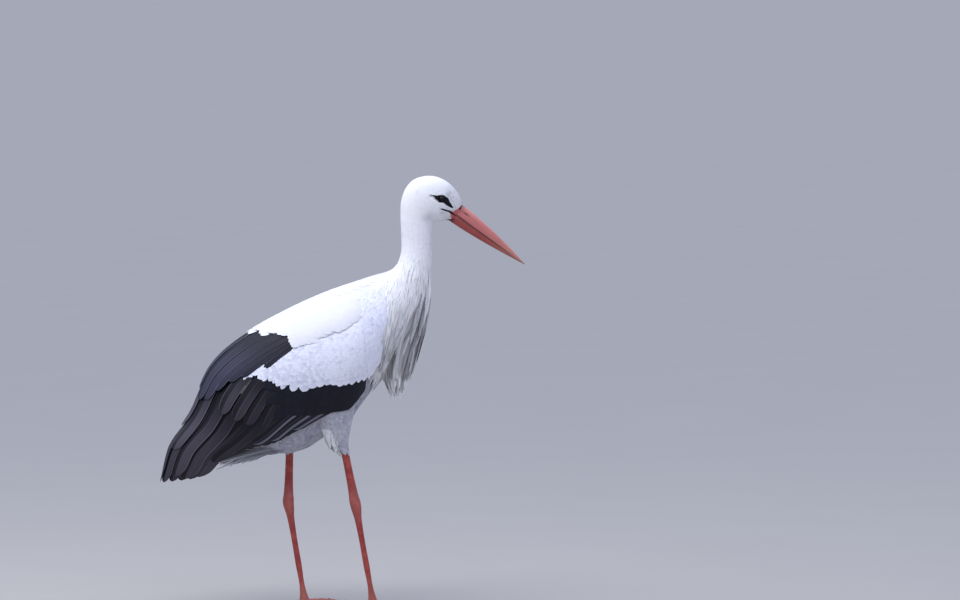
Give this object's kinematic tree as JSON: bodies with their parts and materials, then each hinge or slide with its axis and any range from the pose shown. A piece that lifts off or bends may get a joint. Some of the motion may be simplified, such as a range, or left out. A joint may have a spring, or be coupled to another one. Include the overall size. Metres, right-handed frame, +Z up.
{
  "type": "white stork",
  "caption": "White stork standing with one foot stepped forward, wings folded, bill lowered, as a still life-size model.",
  "frame": {"origin": "middle of the bounding box, on the floor that the soles stand on", "axes": "+Z up, +X the way the bird looks, +Y its left side"},
  "size_m": [0.7292, 0.216, 0.8583],
  "materials": {
    "white_feather": "matte",
    "black_feather": "satin",
    "bill": "satin",
    "leg_skin": "satin",
    "claw": "satin",
    "eye": "gloss"
  },
  "bodies": {
    "root": {"bill_lower": "bill", "bill_upper": "bill", "breast_ruff": "white_feather", "claw_left_hind": "claw", "claw_left_inner": "claw", "claw_left_middle": "claw", "claw_left_outer": "claw", "claw_right_hind": "claw", "claw_right_inner": "claw", "claw_right_middle": "claw", "claw_right_outer": "claw", "eye_left": "eye", "eye_right": "eye", "head": "white_feather", "neck_lower": "white_feather", "neck_upper": "white_feather", "shank_left": "leg_skin", "shank_right": "leg_skin", "tail": "white_feather", "tarsus_left": "leg_skin", "tarsus_right": "leg_skin", "thigh_left": "white_feather", "thigh_right": "white_feather", "toe_left_hind": "leg_skin", "toe_left_inner": "leg_skin", "toe_left_middle": "leg_skin", "toe_left_outer": "leg_skin", "toe_right_hind": "leg_skin", "toe_right_inner": "leg_skin", "toe_right_middle": "leg_skin", "toe_right_outer": "leg_skin", "trunk": "white_feather", "wing_left_coverts": "white_feather", "wing_left_primaries": "black_feather", "wing_left_scapulars": "white_feather", "wing_left_secondaries": "black_feather", "wing_left_tertials": "black_feather", "wing_right_coverts": "white_feather", "wing_right_primaries": "black_feather", "wing_right_scapulars": "white_feather", "wing_right_secondaries": "black_feather", "wing_right_tertials": "black_feather"}
  },
  "joints": []
}
